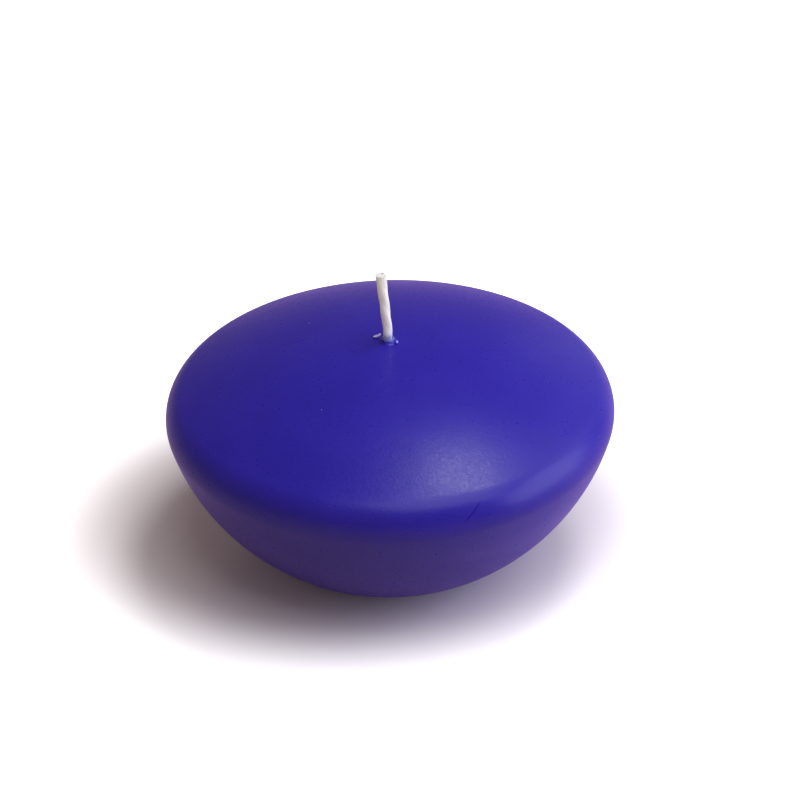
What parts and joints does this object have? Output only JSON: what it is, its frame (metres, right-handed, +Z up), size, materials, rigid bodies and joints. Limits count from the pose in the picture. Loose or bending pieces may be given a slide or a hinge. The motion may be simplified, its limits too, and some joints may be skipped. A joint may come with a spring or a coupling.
{
  "type": "floating candle",
  "caption": "Round wax floating candle with a shallow domed top, a rounded shoulder and a deep round bowl below, and a short leaning cotton wick held by a metal sustainer in the base.",
  "frame": {"origin": "middle of the flat base that the candle stands on", "axes": "+Z up along the candle's axis and its bore; -X towards the side that the wick leans to; -Y towards the viewer of the picture"},
  "size_m": [0.076, 0.076, 0.0529],
  "materials": {
    "wax": "satin blue-violet wax, lightly dusted",
    "wick": "waxed white cotton plait",
    "tinplate": "dull stamped tinplate"
  },
  "bodies": {
    "root": {"wax_body": "wax", "wick": "wick", "wick_sustainer": "tinplate"}
  },
  "joints": []
}
